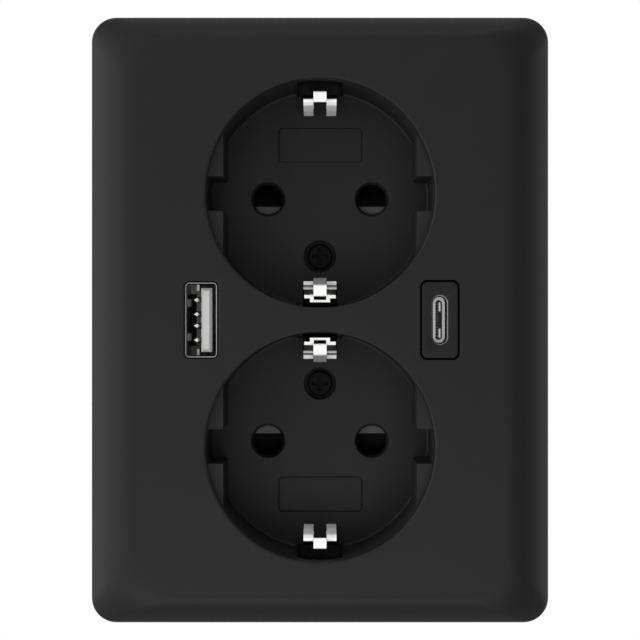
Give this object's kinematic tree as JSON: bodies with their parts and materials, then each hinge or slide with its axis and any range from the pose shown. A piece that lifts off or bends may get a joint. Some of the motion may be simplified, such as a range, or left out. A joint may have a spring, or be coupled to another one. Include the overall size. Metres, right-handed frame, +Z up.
{
  "type": "usb wall socket",
  "caption": "Double wall socket for round earthed plugs on one upright cover, with a wide and a small charging port between the recesses.",
  "frame": {"origin": "middle of the cover's back edge, in the wall plane", "axes": "+X to the right seen from the room, +Y into the wall, +Z up"},
  "size_m": [0.08, 0.0486, 0.106],
  "materials": {
    "cover_plastic": "fine matt moulded, black",
    "cup_plastic": "fine matt moulded, black",
    "bezel_plastic": "satin moulded, black",
    "shutter_plastic": "plain moulded, dark grey",
    "base_plastic": "thermoset, black",
    "spring_steel": "drawn wire",
    "clip_metal": "nickel-plated bronze strip",
    "contact_metal": "stamped brass",
    "frame_metal": "zinc-plated sheet",
    "screw_metal": "blackened",
    "bright_screw_metal": "zinc-plated",
    "board": "glass-fibre board with green lacquer",
    "ferrite": "ground ferrite",
    "copper_coil": "enamelled copper wire under tape",
    "capacitor_sleeve": "aluminium can in a dark sleeve",
    "chip_plastic": "moulded epoxy",
    "port_metal": "stainless sheet",
    "tongue_plastic": "light grey liquid-crystal plastic",
    "dark_tongue_plastic": "black liquid-crystal plastic",
    "port_gold": "gold-plated contact"
  },
  "bodies": {
    "root": {"front_cover": "cover_plastic", "upper_cup": "cup_plastic", "lower_cup": "cup_plastic", "upper_shutter_spring": "spring_steel", "lower_shutter_spring": "spring_steel", "upper_earth_clip": "clip_metal", "lower_earth_clip": "clip_metal", "upper_cover_screw": "screw_metal", "lower_cover_screw": "screw_metal", "base_housing": "base_plastic", "mounting_frame": "frame_metal", "frame_rivets": "bright_screw_metal", "rear_cover": "base_plastic", "rear_cover_screws": "bright_screw_metal", "earth_link": "contact_metal", "live_busbar": "contact_metal", "neutral_busbar": "contact_metal", "live_clamp": "frame_metal", "neutral_clamp": "frame_metal", "earth_clamp": "frame_metal", "terminal_screws": "bright_screw_metal", "power_board": "board", "usb_a_board": "board", "usb_c_board": "board", "transformer_core": "ferrite", "transformer_coil": "copper_coil", "input_capacitor": "capacitor_sleeve", "output_capacitor": "capacitor_sleeve", "rectifier": "chip_plastic", "power_controller": "chip_plastic", "charge_controller": "chip_plastic", "usb_a_shell": "port_metal", "usb_a_tongue": "tongue_plastic", "usb_a_contacts": "port_gold", "usb_c_shell": "port_metal", "usb_c_tongue": "dark_tongue_plastic", "usb_c_contacts": "port_gold", "usb_c_bezel": "bezel_plastic"},
    "upper_shutter": {"upper_shutter": "shutter_plastic"},
    "lower_shutter": {"lower_shutter": "shutter_plastic"}
  },
  "joints": [
    {"name": "upper_shutter_slide", "type": "slide", "parent": "root", "child": "upper_shutter", "axis": [0, 0, -1], "range_m": [0, 0.006], "stiffness_N_per_m": 150, "springref_m": -0.003, "deforming": ["upper_shutter_spring"]},
    {"name": "lower_shutter_slide", "type": "slide", "parent": "root", "child": "lower_shutter", "axis": [0, 0, 1], "range_m": [0, 0.006], "stiffness_N_per_m": 150, "springref_m": -0.003, "deforming": ["lower_shutter_spring"]}
  ]
}
